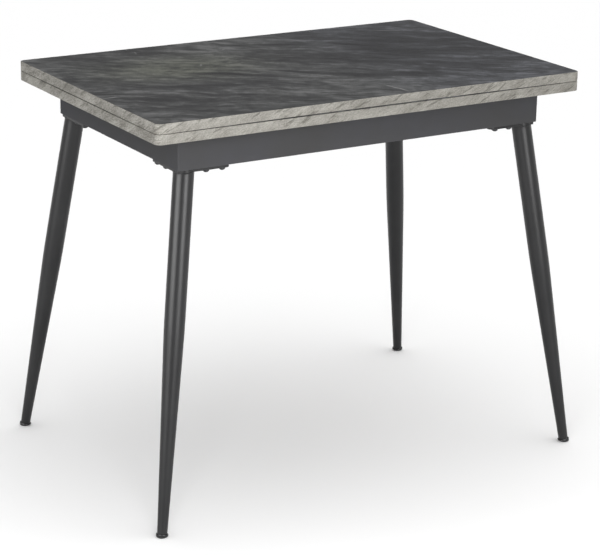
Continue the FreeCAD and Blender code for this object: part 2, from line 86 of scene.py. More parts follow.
class Finish:
    # a material under construction: node() adds any node, shader() fills in the Principled shader

    def __init__(self, name):
        self.material = bpy.data.materials.new(name)
        self.material.use_nodes = True
        self.tree = self.material.node_tree
        self.principled = self.tree.nodes["Principled BSDF"]

    def node(self, kind, settings=None, inputs=None, output=0):
        made = self.tree.nodes.new(kind)
        for key, value in (settings or {}).items():
            if key == "stops":
                self.setStops(made.color_ramp, value)
            else:
                setattr(made, key, value)
        for key, value in (inputs or {}).items():
            self.plug(self.find(made.inputs, key), value)
        return Wire(self, self.find(made.outputs, output))

    def find(self, sockets, key):
        if isinstance(key, int):
            return sockets[key]
        return next(s for s in sockets if key in (s.identifier, s.name))

    def plug(self, socket, value):
        if isinstance(value, Wire):
            self.tree.links.new(value.socket, socket)
        else:
            socket.default_value = value

    def setStops(self, ramp, stops):
        while len(ramp.elements) > 1:
            ramp.elements.remove(ramp.elements[-1])
        for number, (position, colour) in enumerate(stops):
            stop = ramp.elements[0] if number == 0 else ramp.elements.new(position)
            stop.position = position
            stop.color = (*colour, 1.0)

    def coords(self, kind="Object"):
        return self.node("ShaderNodeTexCoord", output=kind)

    def turned(self, vector, angle=0.0, scale=(1, 1, 1), shift=(0, 0, 0)):
        # first turned about Z and moved, then stretched
        values = {"Vector": vector, "Rotation": (0, 0, angle), "Location": shift}
        spun = self.node("ShaderNodeMapping", None, values)
        return self.node("ShaderNodeMapping", None, {"Vector": spun, "Scale": scale})

    def pushed(self, vector, push, amount):
        # the vector plus a share of another one
        share = {0: push, "Scale": amount}
        scaled = self.node("ShaderNodeVectorMath", {"operation": "SCALE"}, share)
        return self.node("ShaderNodeVectorMath", {"operation": "ADD"}, {0: vector, 1: scaled})

    def alongX(self):
        return self.node("ShaderNodeSeparateXYZ", None, {0: self.coords()}, "X")

    def noise(self, vector, scale, detail=4.0, roughness=0.55, distortion=0.0):
        values = {"Vector": vector, "Scale": scale, "Detail": detail,
                  "Roughness": roughness, "Distortion": distortion}
        return self.node("ShaderNodeTexNoise", None, values, "Fac")

    def remap(self, value, low, high, toLow=0.0, toHigh=1.0, smooth=False):
        settings = {"interpolation_type": "SMOOTHSTEP" if smooth else "LINEAR", "clamp": True}
        values = {"Value": value, "From Min": low, "From Max": high,
                  "To Min": toLow, "To Max": toHigh}
        return self.node("ShaderNodeMapRange", settings, values)

    def ramp(self, value, stops):
        return self.node("ShaderNodeValToRGB", {"stops": stops}, {"Fac": value})

    def mix(self, share, first, second, blend="MIX"):
        settings = {"data_type": "RGBA", "blend_type": blend}
        first = first if isinstance(first, Wire) else (*first, 1.0)
        second = second if isinstance(second, Wire) else (*second, 1.0)
        values = {"Factor_Float": share, "A_Color": first, "B_Color": second}
        return self.node("ShaderNodeMix", settings, values, "Result_Color")

    def bump(self, height, strength, distance):
        values = {"Height": height, "Strength": strength, "Distance": distance}
        return self.node("ShaderNodeBump", None, values, "Normal")

    def shader(self, **values):
        # keyword names are the shader's sockets in camelCase, such as baseColor
        for key, value in values.items():
            words = "".join(" " + letter if letter.isupper() else letter for letter in key).title()
            name = words.replace("Ior", "IOR")
            if name == "Base Color" and not isinstance(value, Wire):
                value = (*value, 1.0)
            self.plug(self.principled.inputs[name], value)
        return self.material


slateLook = {
    "angle": math.radians(35),     # the streaks fall to the right, seen from above
    "shades": [(0.0, (0.006, 0.006, 0.007)), (0.30, (0.017, 0.017, 0.018)),
               (0.60, (0.040, 0.041, 0.041)), (1.0, (0.105, 0.106, 0.106))],
    "olive": (1.0, 1.03, 0.84),
    "oliveArea": [(-0.210, 0.090, -10, 0.260, 0.170)],
    "blue": (0.95, 0.97, 1.09),
    "blueFrom": (0.0, 0.25),       # distance along X over which the bluer half sets in
    "vein": (0.26, 0.26, 0.26),
    "veinCover": 0.85,
    "veinBreaks": (0.30, 0.55, 0.35, 1.0),
    "roughness": (0.46, 0.60),
    "warp": (5.0, 4.0),            # scale and detail of the noise that bends the print
    "warpMean": (0.5, 0.5, 0.5),
    "bend": 0.08,
    "markBend": 0.05,
    # stretch along the streaks, scale, detail, roughness, distortion, part of the shade
    "layers": {
        "cloud": (0.50, 7.0, 3, 0.50, 0.0, 0.36),
        "streak": (0.22, 36.0, 4, 0.60, 0.0, 0.48),
        "thread": (0.12, 130.0, 4, 0.65, 0.0, 0.46),
        "mottle": (0.55, 66.0, 5, 0.70, 0.5, 0.62),
    },
    "grain": (520.0, 3, 0.6),
    "grainPart": 0.20,
    "shadeRange": (0.880, 1.210),
    # centre x, y, angle in degrees, half length, half width, how much lighter (or darker) it is
    "marks": [
        (-0.154, -0.003, -38, 0.120, 0.018, -0.22),
        (-0.027, -0.040, -46, 0.075, 0.015, -0.20),
        (0.150, -0.155, -20, 0.130, 0.032, -0.17),
        (0.055, -0.110, -42, 0.060, 0.020, -0.16),
        (0.045, 0.205, -23, 0.140, 0.017, -0.18),
        (0.195, 0.125, -44, 0.080, 0.017, -0.16),
        (0.110, 0.005, -44, 0.070, 0.017, -0.14),
        (-0.205, -0.080, -19, 0.100, 0.013, -0.12),
        (-0.340, -0.136, -34, 0.100, 0.030, -0.08),
        (0.240, 0.030, -45, 0.110, 0.045, -0.08),
        (0.135, -0.100, -38, 0.110, 0.027, 0.13),
        (0.305, -0.057, -33, 0.080, 0.027, 0.09),
        (-0.090, -0.200, -25, 0.120, 0.045, 0.08),
        (0.380, 0.200, -29, 0.090, 0.027, 0.08),
        (-0.210, 0.090, -10, 0.250, 0.130, 0.06),
        # partly print, partly painted shade: darkens the right under a brighter sky reflection
        (0.270, 0.020, -60, 0.350, 0.260, -0.09),
    ],
    "paleVeins": [
        (-0.423, -0.076, -8, 0.026, 0.0034, 0.8),
        (0.060, -0.240, 98, 0.052, 0.0036, 1.0),
        (-0.165, 0.088, 62, 0.012, 0.0035, 0.5),
        (-0.060, 0.200, 40, 0.011, 0.0035, 0.4),
        (-0.220, 0.247, 80, 0.013, 0.0030, 0.5),
        (0.345, 0.205, -28, 0.060, 0.0050, 0.4),
    ],
}


def strokes(f, place, marks):
    # soft-ended strokes: full at each centre, falling smoothly to 0 at its half length and half
    # width; a sixth number is the stroke's weight
    total = 0.0
    for x, y, degrees, halfLength, halfWidth, *weight in marks:
        turn = math.radians(-degrees)
        shiftX = -(x * math.cos(turn) - y * math.sin(turn))
        shiftY = -(x * math.sin(turn) + y * math.cos(turn))
        local = f.turned(place, turn, (1 / halfLength, 1 / halfWidth, 0), (shiftX, shiftY, 0))
        reach = f.node("ShaderNodeVectorMath", {"operation": "LENGTH"}, {0: local}, "Value")
        soft = f.remap(reach, 0.1, 1.0, toLow=1.0, toHigh=0.0, smooth=True)
        total = soft * (weight[0] if weight else 1.0) + total
    return total


def slateLaminate(name, shift):
    # dark stone print: fine mottling drawn out on a slant, broad veins at set places, a few thin
    # pale lines; the broad dark patch on the right is partly print and partly painted shade
    look = slateLook
    f = Finish(name)
    flat = f.turned(f.coords(), look["angle"], shift=shift)
    scale, detail = look["warp"]
    pattern = {"Vector": flat, "Scale": scale, "Detail": detail}
    warp = f.node("ShaderNodeTexNoise", None, pattern, "Color")
    ends = {0: warp, 1: look["warpMean"]}
    centred = f.node("ShaderNodeVectorMath", {"operation": "SUBTRACT"}, ends)
    bent = f.pushed(flat, centred, look["bend"])
    nudged = f.pushed(f.coords(), centred, look["markBend"])
    grain = f.noise(flat, *look["grain"])
    shade = grain * look["grainPart"]
    layers = {}
    for layer, (stretch, *pattern, part) in look["layers"].items():
        layers[layer] = f.noise(f.turned(bent, scale=(stretch, 1, 1)), *pattern)
        shade = shade + layers[layer] * part
    thread, mottle = layers["thread"], layers["mottle"]
    # the marks hold the print's streaks and, on the right, a broad patch of painted shade
    shade = shade + strokes(f, nudged, look["marks"]) * (mottle + 0.5)
    stone = f.ramp(f.remap(shade, *look["shadeRange"]), look["shades"])
    cooler = f.remap(f.alongX(), *look["blueFrom"], smooth=True)
    cool = f.mix(cooler, (1.0, 1.0, 1.0), look["blue"])
    tint = f.mix(strokes(f, nudged, look["oliveArea"]), cool, look["olive"])
    tinted = f.mix(1.0, stone, tint, "MULTIPLY")
    pale = strokes(f, nudged, look["paleVeins"])
    broken = f.remap(thread, *look["veinBreaks"])    # the veins fade in and out along the streaks
    veined = f.mix(pale * broken * look["veinCover"], tinted, look["vein"])
    normal = f.bump(thread * 0.5 + grain, strength=0.10, distance=0.0002)
    rough = f.remap(mottle, *noiseSpan, *look["roughness"])
    return f.shader(baseColor=veined, roughness=rough, normal=normal, specularIorLevel=0.3)


edgeLook = {
    "shades": [(0.0, (0.160, 0.150, 0.127)), (0.45, (0.268, 0.258, 0.230)),
               (0.62, (0.305, 0.294, 0.262)), (1.0, (0.405, 0.390, 0.352))],
    "fleck": (0.12, 0.113, 0.095),
    "fleckCover": 0.85,
    "slant": math.radians(-25),
    "stretch": (5.5, 2.0, 3.5),  # of the flecks, the cloud and the fibres
    "roughness": 0.55,
    "endsFrom": (0.438, 0.446),  # distance along X over which the stronger grain sets in
    "endsContrast": 1.65,
    "middle": 0.775,             # the grain's mean level, about which its contrast grows
    "levels": (0.595, 0.955),
}


def greigeEdging():
    # pale stone grain along the edge with soft slanted flecks, stronger on the short sides; the
    # grain reads the band's own map, in metres, and its contrast the object's X
    look = edgeLook
    f = Finish("greige_edging_print")
    along = f.coords("UV")
    stretched = [f.turned(along, look["slant"], scale=(1, by, 1)) for by in look["stretch"]]
    slanted, wide, narrow = stretched
    cloud = f.noise(wide, scale=22.0, detail=3, roughness=0.5)
    fibre = f.noise(narrow, scale=110.0, detail=5, roughness=0.7)
    grain = f.noise(along, scale=420.0, detail=4, roughness=0.65)
    contrast = f.remap(abs(f.alongX()), *look["endsFrom"], 1.0, look["endsContrast"])
    level = cloud * 0.45 + fibre * 0.55 + grain * 0.55
    raised = (level - look["middle"]) * contrast + look["middle"]
    stone = f.ramp(f.remap(raised, *look["levels"]), look["shades"])
    patch = f.noise(slanted, scale=25.0, detail=2, roughness=0.5, distortion=0.3)
    line = f.noise(slanted, scale=75.0, detail=4, roughness=0.65, distortion=0.6)
    gate = f.remap(patch, 0.565, 0.665, smooth=True)
    thin = f.remap(line, 0.36, 0.54, smooth=True)
    colour = f.mix(gate * thin * look["fleckCover"], stone, look["fleck"])
    normal = f.bump(grain, strength=0.12, distance=0.0002)
    rough = look["roughness"]
    return f.shader(baseColor=colour, roughness=rough, normal=normal, specularIorLevel=0.35)


def anthraciteFoil():
    # satin foil on the apron: even grey with a fine pressed texture
    f = Finish("anthracite_foil")
    place = f.coords()
    cloud = f.noise(place, scale=6.0, detail=3)
    grain = f.noise(place, scale=900.0, detail=3, roughness=0.6)
    shades = [(0.0, (0.076, 0.075, 0.074)), (0.5, (0.081, 0.081, 0.085)),
              (1.0, (0.086, 0.087, 0.097))]
    colour = f.ramp(f.remap(cloud * 0.7 + grain * 0.3, *noiseSpan), shades)
    normal = f.bump(grain, strength=0.25, distance=0.0002)
    rough = f.remap(cloud, *noiseSpan, 0.50, 0.60)
    return f.shader(baseColor=colour, roughness=rough, normal=normal, specularIorLevel=0.02)


def powderCoat(name, light, dark, roughness):
    # powder paint on steel: orange-peel ripple, tiny shade changes
    f = Finish(name)
    place = f.coords()
    peel = f.noise(place, scale=1100.0, detail=2, roughness=0.5)
    cloud = f.noise(place, scale=12.0, detail=3)
    colour = f.ramp(f.remap(cloud * 0.8 + peel * 0.2, 0.35, 0.65), [(0.0, dark), (1.0, light)])
    normal = f.bump(peel, strength=0.15, distance=0.0003)
    rough = f.remap(peel, *noiseSpan, roughness - 0.05, roughness + 0.05)
    return f.shader(baseColor=colour, roughness=rough, normal=normal, specularIorLevel=0.33)


def moulded(name, colour, roughness, scale=1400.0):
    # fine spark-eroded texture of moulded plastic
    f = Finish(name)
    place = f.coords()
    grain = f.noise(place, scale, detail=3, roughness=0.6)
    cloud = f.noise(place, scale=40.0, detail=2)
    darker = tuple(0.8 * part for part in colour)
    shade = f.mix(f.remap(cloud, 0.35, 0.65), darker, colour)
    normal = f.bump(grain, strength=0.3, distance=0.0002)
    rough = f.remap(grain, *noiseSpan, roughness - 0.08, roughness + 0.08)
    return f.shader(baseColor=shade, roughness=rough, normal=normal)


def platedSteel(name, colour, roughness, metallic=1.0):
    # plated steel: clouded passivation and fine scratches
    f = Finish(name)
    place = f.coords()
    cloud = f.noise(place, scale=70.0, detail=4)
    drawn = f.turned(place, 0.6, scale=(1, 14, 14))
    scratch = f.noise(drawn, scale=160.0, detail=4, roughness=0.7)
    darker = tuple(0.72 * part for part in colour)
    shade = f.mix(f.remap(cloud, *noiseSpan), darker, colour)
    wear = cloud * 0.6 + scratch * 0.4
    rough = f.remap(wear, *noiseSpan, roughness - 0.08, roughness + 0.12)
    normal = f.bump(scratch, strength=0.12, distance=0.0002)
    return f.shader(baseColor=shade, roughness=rough, metallic=metallic, normal=normal)


def planedWood(name, angle):
    # softwood: rings stretched along the piece, fine fibres
    f = Finish(name)
    broad, fine = (f.turned(f.coords(), angle, scale=(1, by, by)) for by in (9, 22))
    ring = f.noise(broad, scale=14.0, detail=4, distortion=1.2)
    fibre = f.noise(fine, scale=60.0, detail=4, roughness=0.65)
    shades = [(0.0, (0.30, 0.17, 0.075)), (0.5, (0.50, 0.33, 0.17)), (1.0, (0.62, 0.45, 0.27))]
    colour = f.ramp(f.remap(ring * 0.75 + fibre * 0.35, 0.35, 0.8), shades)
    normal = f.bump(fibre, strength=0.3, distance=0.0003)
    rough = f.remap(fibre, *noiseSpan, 0.55, 0.75)
    return f.shader(baseColor=colour, roughness=rough, normal=normal)


def pressedFelt():
    # grey felt: matted fibres
    f = Finish("pressed_felt")
    place = f.coords()
    fluff = f.noise(place, scale=1300.0, detail=5, roughness=0.75, distortion=1.5)
    mottle = f.noise(place, scale=260.0, detail=3)
    shades = [(0.0, (0.07, 0.07, 0.07)), (1.0, (0.22, 0.22, 0.22))]
    colour = f.ramp(f.remap(fluff * 0.6 + mottle * 0.4, *noiseSpan), shades)
    normal = f.bump(fluff, strength=0.8, distance=0.0004)
    return f.shader(baseColor=colour, roughness=0.95, normal=normal)


finishes = {
    "upperSlate": slateLaminate("slate_laminate_upper", (0.0, 0.0, 0.0)),
    "lowerSlate": slateLaminate("slate_laminate_lower", (0.7, 1.9, 0.0)),
    "edging": greigeEdging(),
    "foil": anthraciteFoil(),
    "powder": powderCoat("anthracite_powder_coat", (0.020, 0.020, 0.021), (0.014, 0.014, 0.015),
                         roughness=0.34),
    "plastic": moulded("black_foot_plastic", (0.012, 0.012, 0.013), 0.20, scale=300.0),
    "nylon": moulded("white_nylon", (0.78, 0.77, 0.72), 0.42),
    "rubber": moulded("clear_rubber", (0.55, 0.57, 0.57), 0.25, scale=300.0),
    "blackZinc": platedSteel("black_zinc", (0.055, 0.055, 0.058), 0.38, metallic=0.6),
    "zinc": platedSteel("zinc_plate", (0.60, 0.60, 0.58), 0.32),
    "woodAlongX": planedWood("softwood_along_x", 0.0),
    "woodAlongY": planedWood("softwood_along_y", math.radians(90)),
    "felt": pressedFelt(),
}
print("finishes made:", len(finishes))


def gridMesh(name, points, uv=None, wrapU=False, wrapV=False, capEnds=False, crease=35.0):
    # a grid of places points[u, v]: each four neighbours make a face; a wrapped side joins its
    # last row to its first; capEnds closes both ends of the u side with one flat face
    rows, columns = points.shape[:2]
    index = np.arange(rows * columns).reshape(rows, columns)
    u = np.arange(rows if wrapU else rows - 1)
    v = np.arange(columns if wrapV else columns - 1)
    uu, vv = np.meshgrid(u, v, indexing="ij")
    nextU, nextV = (uu + 1) % rows, (vv + 1) % columns
    quads = [index[uu, vv], index[nextU, vv], index[nextU, nextV], index[uu, nextV]]
    faces = np.stack(quads, -1).reshape(-1, 4).tolist()
    if capEnds:
        faces += [index[0].tolist(), index[-1][::-1].tolist()]
    mesh = bpy.data.meshes.new(name)
    mesh.from_pydata(points.reshape(-1, 3).tolist(), [], faces)
    if uv is not None:
        spots = [uv[uu, vv], uv[uu + 1, vv], uv[uu + 1, vv + 1], uv[uu, vv + 1]]
        loops = np.stack(spots, -2).reshape(-1, 2).astype(np.float32)
        mesh.uv_layers.new(name="edgeMap").data.foreach_set("uv", loops.ravel())
    faceOutward(mesh)
    mesh.polygons.foreach_set("use_smooth", [True] * len(mesh.polygons))
    mesh.set_sharp_from_angle(angle=math.radians(crease))
    return mesh


def meshPlaces(mesh):
    places = np.zeros(len(mesh.vertices) * 3)
    mesh.vertices.foreach_get("co", places)
    return places.reshape(-1, 3)


def faceOutward(mesh):
    # the signed volume is the sum over triangles of a . (b x c) / 6; if it is negative, the faces
    # are turned round
    mesh.calc_loop_triangles()
    triangles = np.zeros(len(mesh.loop_triangles) * 3, np.int32)
    mesh.loop_triangles.foreach_get("vertices", triangles)
    a, b, c = meshPlaces(mesh)[triangles.reshape(-1, 3)].transpose(1, 0, 2)
    if np.einsum("ij,ij->i", a, np.cross(b, c)).sum() < 0:
        mesh.flip_normals()


def piece(name, mesh, finish, body, slot, *nodes):
    # links a finished mesh as a piece that rides on a body and stands for some CAD nodes
    made = bpy.data.objects.new(name, mesh)
    bpy.context.scene.collection.objects.link(made)
    mesh.materials.append(finishes[finish])
    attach(made, body)
    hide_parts(*nodes)
    return made


edgeBand = {
    "thickness": 0.001,
    "cornerRadius": 0.012,
    "easing": 0.0009,
    "easingSteps": 6,
    "cornerSteps": 14,
    "straightSteps": 24,
    # how far the upper leaf's lower edge rises at mid-length, on the long and on the short sides
    "bows": (0.0019, 0.0009),
    "hingeClearance": 0.0005,
    "hingeGap": 0.05,          # plates further apart than this belong to two hinges
    "plateHeight": 0.0142,
    "step": 0.00002,           # width of the sharp step at a hinge's ends
    "squareOn": 0.999,         # cosine above which a place faces straight away from its side
    "longSide": 0.7,           # cosine above which a corner's place counts to a long side
}


def evenShares(count):
    # evenly spaced shares of a length, both ends left out
    return np.linspace(0, 1, count + 2)[1:-1]


def quarterTurn(steps):
    return np.radians(np.linspace(0, 90, steps))


def roundedPath(halfX, halfY, radius, stops):
    # walk round a rectangle with quarter-circle corners: each side is split at its own stops (0
    # to 1 of its straight length), each corner at equal angles; returns corner centres and unit
    # outward directions
    centres, normals = [], []
    sides = [((1, -1), 0), ((1, 1), 90), ((-1, 1), 180), ((-1, -1), 270)]
    for number, ((sx, sy), start) in enumerate(sides):
        turn = np.radians(start - 90 + np.linspace(0, 90, edgeBand["cornerSteps"]))
        arm = np.stack([np.cos(turn), np.sin(turn)], -1)
        corner = np.array([sx * (halfX - radius), sy * (halfY - radius)])
        centres.append(np.repeat(corner[None], len(turn), 0))
        normals.append(arm)
        nx, ny = sides[(number + 1) % 4][0]
        following = np.array([nx * (halfX - radius), ny * (halfY - radius)])
        share = np.asarray(stops[number])[:, None]
        centres.append(corner + share * (following - corner))
        normals.append(np.repeat(arm[-1:], len(share), 0))
    return np.concatenate(centres), np.concatenate(normals)


def bandStops(length, hinges):
    # positions along a side, as shares of its straight length: even steps, and a sharp step at
    # each hinge's ends
    marks = []
    for low, high in hinges:
        for place, sign in ((low, -1), (high, 1)):
            marks += [place + sign * edgeBand["step"] / 2, place - sign * edgeBand["step"] / 2]
    shares = np.array([(mark + length / 2) / length for mark in marks])
    return np.sort(np.concatenate([evenShares(edgeBand["straightSteps"]), shares]))


def makeEdgeBand(name, node, body, upper):
    # profile: thickness by leaf height with rounded outer edges; path: the leaf's rounded
    # outline; the edge that meets the other leaf steps back round each hinge plate, and the upper
    # leaf's bows a little at mid-length
    look = edgeBand
    low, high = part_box(node)
    halfX, halfY = high.x, high.y
    plates = frame["nodes"]["hinge_plates_" + ("upper" if upper else "lower")].data
    spans = hingeSpans(meshPlaces(plates)[:, 0])
    radius = look["cornerRadius"]
    clearance = look["hingeClearance"]
    straight = 2 * (halfX - radius)
    rear = [(-last - clearance, -first + clearance) for first, last in spans]
    even = evenShares(look["straightSteps"])
    stops = [even, bandStops(straight, rear), even, even]
    centres, normals = roundedPath(halfX, halfY, radius, stops)
    count = len(centres)
    # the walk starts at the front right corner, so its second side is the rear one, from +X to -X
    onRear = normals[:, 1] > look["squareOn"]
    onLongSide = np.abs(normals[:, 1]) > look["longSide"]
    atHinge = np.zeros(count, bool)
    for first, last in spans:
        inside = (centres[:, 0] > first - clearance) & (centres[:, 0] < last + clearance)
        atHinge |= onRear & inside
    along = np.where(onLongSide, np.abs(centres[:, 0]) / halfX, np.abs(centres[:, 1]) / halfY)
    bow = np.where(onLongSide, *look["bows"]) * np.clip(1 - along ** 2, 0, 1)
    bottom = np.full(count, low.z)
    top = np.full(count, high.z)
    if upper:
        bottom = np.where(atHinge, low.z + look["plateHeight"], low.z + bow)
    else:
        top = np.where(atHinge, high.z - look["plateHeight"], high.z)
    turn = quarterTurn(look["easingSteps"])
    easing = look["easing"]
    depthLow = easing * (1 - np.sin(turn))
    riseLow = easing * (1 - np.cos(turn))
    depth = np.concatenate([[look["thickness"]], depthLow, depthLow[::-1], [look["thickness"]]])
    rise = np.concatenate([[0], riseLow, -riseLow[::-1], [0]])
    isTop = np.concatenate([np.zeros(1 + len(turn)), np.ones(1 + len(turn))])
    height = bottom[:, None] + (top - bottom)[:, None] * isTop + rise
    reach = radius - depth
    plan = centres[:, None, :] + normals[:, None, :] * reach[None, :, None]
    points = np.concatenate([plan, height[..., None]], -1)
    outline = centres + normals * radius
    steps = np.linalg.norm(np.roll(outline, -1, 0) - outline, axis=1)
    walked = np.concatenate([[0], np.cumsum(steps)])
    climb = np.concatenate([height, height[:, :1]], 1)
    climb = np.concatenate([climb, climb[:1]], 0)
    uv = np.stack([np.repeat(walked[:, None], climb.shape[1], 1), climb], -1)
    mesh = gridMesh(name, points, uv, wrapU=True, wrapV=True)
    return piece(name, mesh, "edging", body, "greige_edging", node)


def hingeSpans(xs):
    # groups the hinge plates' x values into runs, one for each hinge
    ordered = np.unique(np.round(xs, 5))
    breaks = np.nonzero(np.diff(ordered) > edgeBand["hingeGap"])[0]
    starts = np.concatenate([[0], breaks + 1])
    ends = np.concatenate([breaks, [len(ordered) - 1]])
    return [(ordered[s], ordered[e]) for s, e in zip(starts, ends)]


makeEdgeBand("upper_edge_band", "upper_leaf_edge_band", "upper_top", True)
makeEdgeBand("lower_edge_band", "lower_leaf_edge_band", "lower_top", False)
print("edge bands made")


apronRail = {
    "cornerRadius": 0.003,
    "innerRadius": 0.0002,
    "easing": 0.0010,
    "easingSteps": 4,
    "cornerSteps": 8,
    "straightSteps": 12,
}


def makeRail(name, node, side):
    # one side of a rounded frame between its two mitres: the plan offset d from the outer face
    # follows a rounded rectangle set in by d, and the profile is the board's section with eased
    # edges
    look = apronRail
    low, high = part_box(node)
    whole = [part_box("apron_" + word) for word in ("front", "rear", "left", "right")]
    halfX = max(box[1].x for box in whole)
    halfY = max(box[1].y for box in whole)
    bottom, top = low.z, high.z
    board = min(high.x - low.x, high.y - low.y)
    easing = look["easing"]
    turn = quarterTurn(look["easingSteps"])
    depthCorner = easing * (1 - np.sin(turn))
    riseCorner = easing * (1 - np.cos(turn))
    outerDepth = np.concatenate([depthCorner, depthCorner[::-1]])
    depth = np.concatenate([outerDepth, board - outerDepth])
    outerHeight = [bottom + riseCorner, top - riseCorner[::-1]]
    innerHeight = [top - riseCorner, bottom + riseCorner[::-1]]
    height = np.concatenate(outerHeight + innerHeight)
    radius = look["cornerRadius"] + (look["innerRadius"] - look["cornerRadius"]) * depth / board
    # angles of the outward direction along the side, from one mitre to the other
    bend = np.radians(np.linspace(45, 0, look["cornerSteps"]))
    angle = np.concatenate([-bend, np.zeros(look["straightSteps"]), bend[::-1]])
    even = evenShares(look["straightSteps"])
    share = np.concatenate([np.zeros(len(bend)), even, np.ones(len(bend))])
    halfRun, halfDeep = (halfX, halfY) if side in ("front", "rear") else (halfY, halfX)
    angle = angle[:, None]
    run = (2 * share - 1)[:, None] * (halfRun - depth - radius) + radius * np.sin(angle)
    out = halfDeep - depth - radius + radius * np.cos(angle)
    tall = np.repeat(height[None], len(angle), 0)
    onSides = {"front": (run, -out), "rear": (-run, out), "right": (out, run), "left": (-out, -run)}
    x, y = onSides[side]
    points = np.stack([x, y, tall], -1)
    mesh = gridMesh(name, points, wrapV=True, capEnds=True)
    return piece(name, mesh, "foil", "frame", "anthracite_board", node)


for side in ("front", "rear", "left", "right"):
    makeRail("apron_board_" + side, "apron_" + side, side)
print("apron made")


leg = {
    "topRadius": 0.01875,
    "footRadius": 0.00925,
    "straight": 0.281,
    "shoulderBlend": 0.020,
    "weldHeight": 0.0026,
    "weldReach": 0.0018,
    "aroundSteps": 96,
    "alongSteps": 90,
    "weldSteps": 7,
    "topRing": 0.0001,    # how far below the highest vertex the tube's top ring reaches
}
foot = {
    "radius": 0.01125,
    "height": 0.006,
    "rounding": 0.0022,
    "soleRounding": 0.0030,
    "roundSteps": 9,
    "soleShare": 0.5,     # of the radius: where the flat sole's closing face starts
    "innerShare": 0.9,    # of the tube's radius: how far the cap's top face runs in
}


def legAxis(corner):
    # foot centre from the record's mount, top centre from the tube's highest ring of vertices;
    # also the axis's direction and length, and the unit directions around it
    mounts = {mount["name"]: mount for mount in frame["record"]["mounts"]}
    base = np.array(mounts["foot_" + corner]["pos_m"], float)
    places = meshPlaces(frame["nodes"]["leg_tube_" + corner].data)
    highest = places[places[:, 2] > places[:, 2].max() - leg["topRing"]]
    crown = (highest.min(0) + highest.max(0)) / 2
    up = crown - base
    length = np.linalg.norm(up)
    up = up / length
    side = np.cross(up, [0, 0, 1.0])
    side /= np.linalg.norm(side)
    angle = np.linspace(0, 2 * np.pi, leg["aroundSteps"], endpoint=False)[:, None]
    ring = np.cos(angle) * side + np.sin(angle) * np.cross(up, side)
    return base, crown, up, length, ring


def legRadius(along, length):
    # straight upper part, straight taper below it, joined by a smooth bend: a soft minimum of the
    # two lines
    shoulder = length - leg["straight"]
    slope = (leg["topRadius"] - leg["footRadius"]) / (shoulder - foot["height"])
    taper = leg["footRadius"] + slope * (along - foot["height"])
    blend = slope * leg["shoulderBlend"]
    gap = taper - leg["topRadius"]
    return leg["topRadius"] + 0.5 * (gap - np.sqrt(gap ** 2 + blend ** 2))


def aroundAxis(base, up, ring, along, radius):
    # places at a distance along the leg's axis and a radius from it, for each direction around
    return base + along[..., None] * up + radius[..., None] * ring


def makeLeg(corner):
    # outer skin from the foot to the plate and a small weld fillet under the plate; each line of
    # the tube ends on the plate's flat underside, so its length depends on the angle around
    base, crown, up, length, ring = legAxis(corner)
    rise = crown[2] - base[2]
    share = np.linspace(0, 1, leg["alongSteps"])[:, None]
    topRadius = leg["topRadius"]
    reachTop = (rise - topRadius * ring[:, 2]) / up[2] - leg["weldHeight"]
    along = foot["height"] + share * (reachTop - foot["height"])
    radius = legRadius(along, length)
    turn = quarterTurn(leg["weldSteps"])[1:, None]
    weldRadius = topRadius + leg["weldReach"] * (1 - np.cos(turn)) * np.ones(len(ring))
    weldTop = (rise - weldRadius * ring[:, 2]) / up[2]
    weldAlong = np.minimum(reachTop + leg["weldHeight"] * np.sin(turn), weldTop)
    weldAlong[-1] = weldTop[-1]
    along = np.concatenate([along, weldAlong])
    radius = np.concatenate([radius, weldRadius])
    points = aroundAxis(base, up, ring, along, radius)
    name = "leg_" + corner
    mesh = gridMesh(name, points, wrapV=True, capEnds=True)
    return piece(name, mesh, "powder", "frame", "anthracite_powder", "leg_tube_" + corner)


def makeFoot(corner):
    # plastic cap: a short round collar with rounded rims, cut level where it stands on the floor
    base, _, up, _, ring = legAxis(corner)
    turn = quarterTurn(foot["roundSteps"])
    sole = foot["soleRounding"]
    soleRadius = foot["radius"] - sole * (1 - np.sin(turn))
    soleLift = sole * (1 - np.cos(turn))
    rim = foot["rounding"]
    rimRadius = foot["radius"] - rim * (1 - np.cos(turn))
    rimAlong = foot["height"] - rim * (1 - np.sin(turn))
    inner = leg["footRadius"] * foot["innerShare"]
    ones = np.ones(len(ring))
    soleRadii = np.concatenate([[foot["radius"] * foot["soleShare"]], soleRadius])[:, None] * ones
    lift = np.concatenate([[0.0], soleLift])[:, None]
    soleAlong = (lift - base[2] - soleRadii * ring[:, 2]) / up[2]
    upperRadii = np.concatenate([rimRadius, [inner]])[:, None] * ones
    upperAlong = np.concatenate([rimAlong, [foot["height"]]])[:, None] * ones
    along = np.concatenate([soleAlong, upperAlong])
    points = aroundAxis(base, up, ring, along, np.concatenate([soleRadii, upperRadii]))
    name = "foot_" + corner
    mesh = gridMesh(name, points, wrapV=True, capEnds=True)
    return piece(name, mesh, "plastic", "frame", "black_plastic", "foot_cap_" + corner)


for corner in corners:
    makeLeg(corner)
    makeFoot(corner)
print("legs and feet made")


nodeFinishes = {
    "upper_leaf": "upperSlate",
    "lower_leaf": "lowerSlate",
    "leg_plate_screws": "blackZinc",
    "corner_blocks": "woodAlongX",
    "corner_block_screws": "blackZinc",
    "glide_pads": "felt",
    "pivot_rail": "woodAlongY",
    "rail_brackets": "zinc",
    "rail_bracket_screws": "blackZinc",
    "pivot_bush": "nylon",
    "slip_washer": "nylon",
    "pivot_plate": "zinc",
    "pivot_plate_screws": "zinc",
    "pivot_washer": "zinc",
    "spring_washer": "zinc",
    "lock_nut": "zinc",
    "pivot_bolt": "zinc",
    "swivel_stop": "woodAlongX",
    "swivel_stop_screws": "blackZinc",
    "hinge_pins": "zinc",
    "hinge_plates_lower": "zinc",
    "hinge_plates_upper": "zinc",
    "hinge_screws_lower": "zinc",
    "hinge_screws_upper": "zinc",
    "bumper_dots": "rubber",
}
nodeFinishes.update({"leg_plate_" + corner: "powder" for corner in corners})
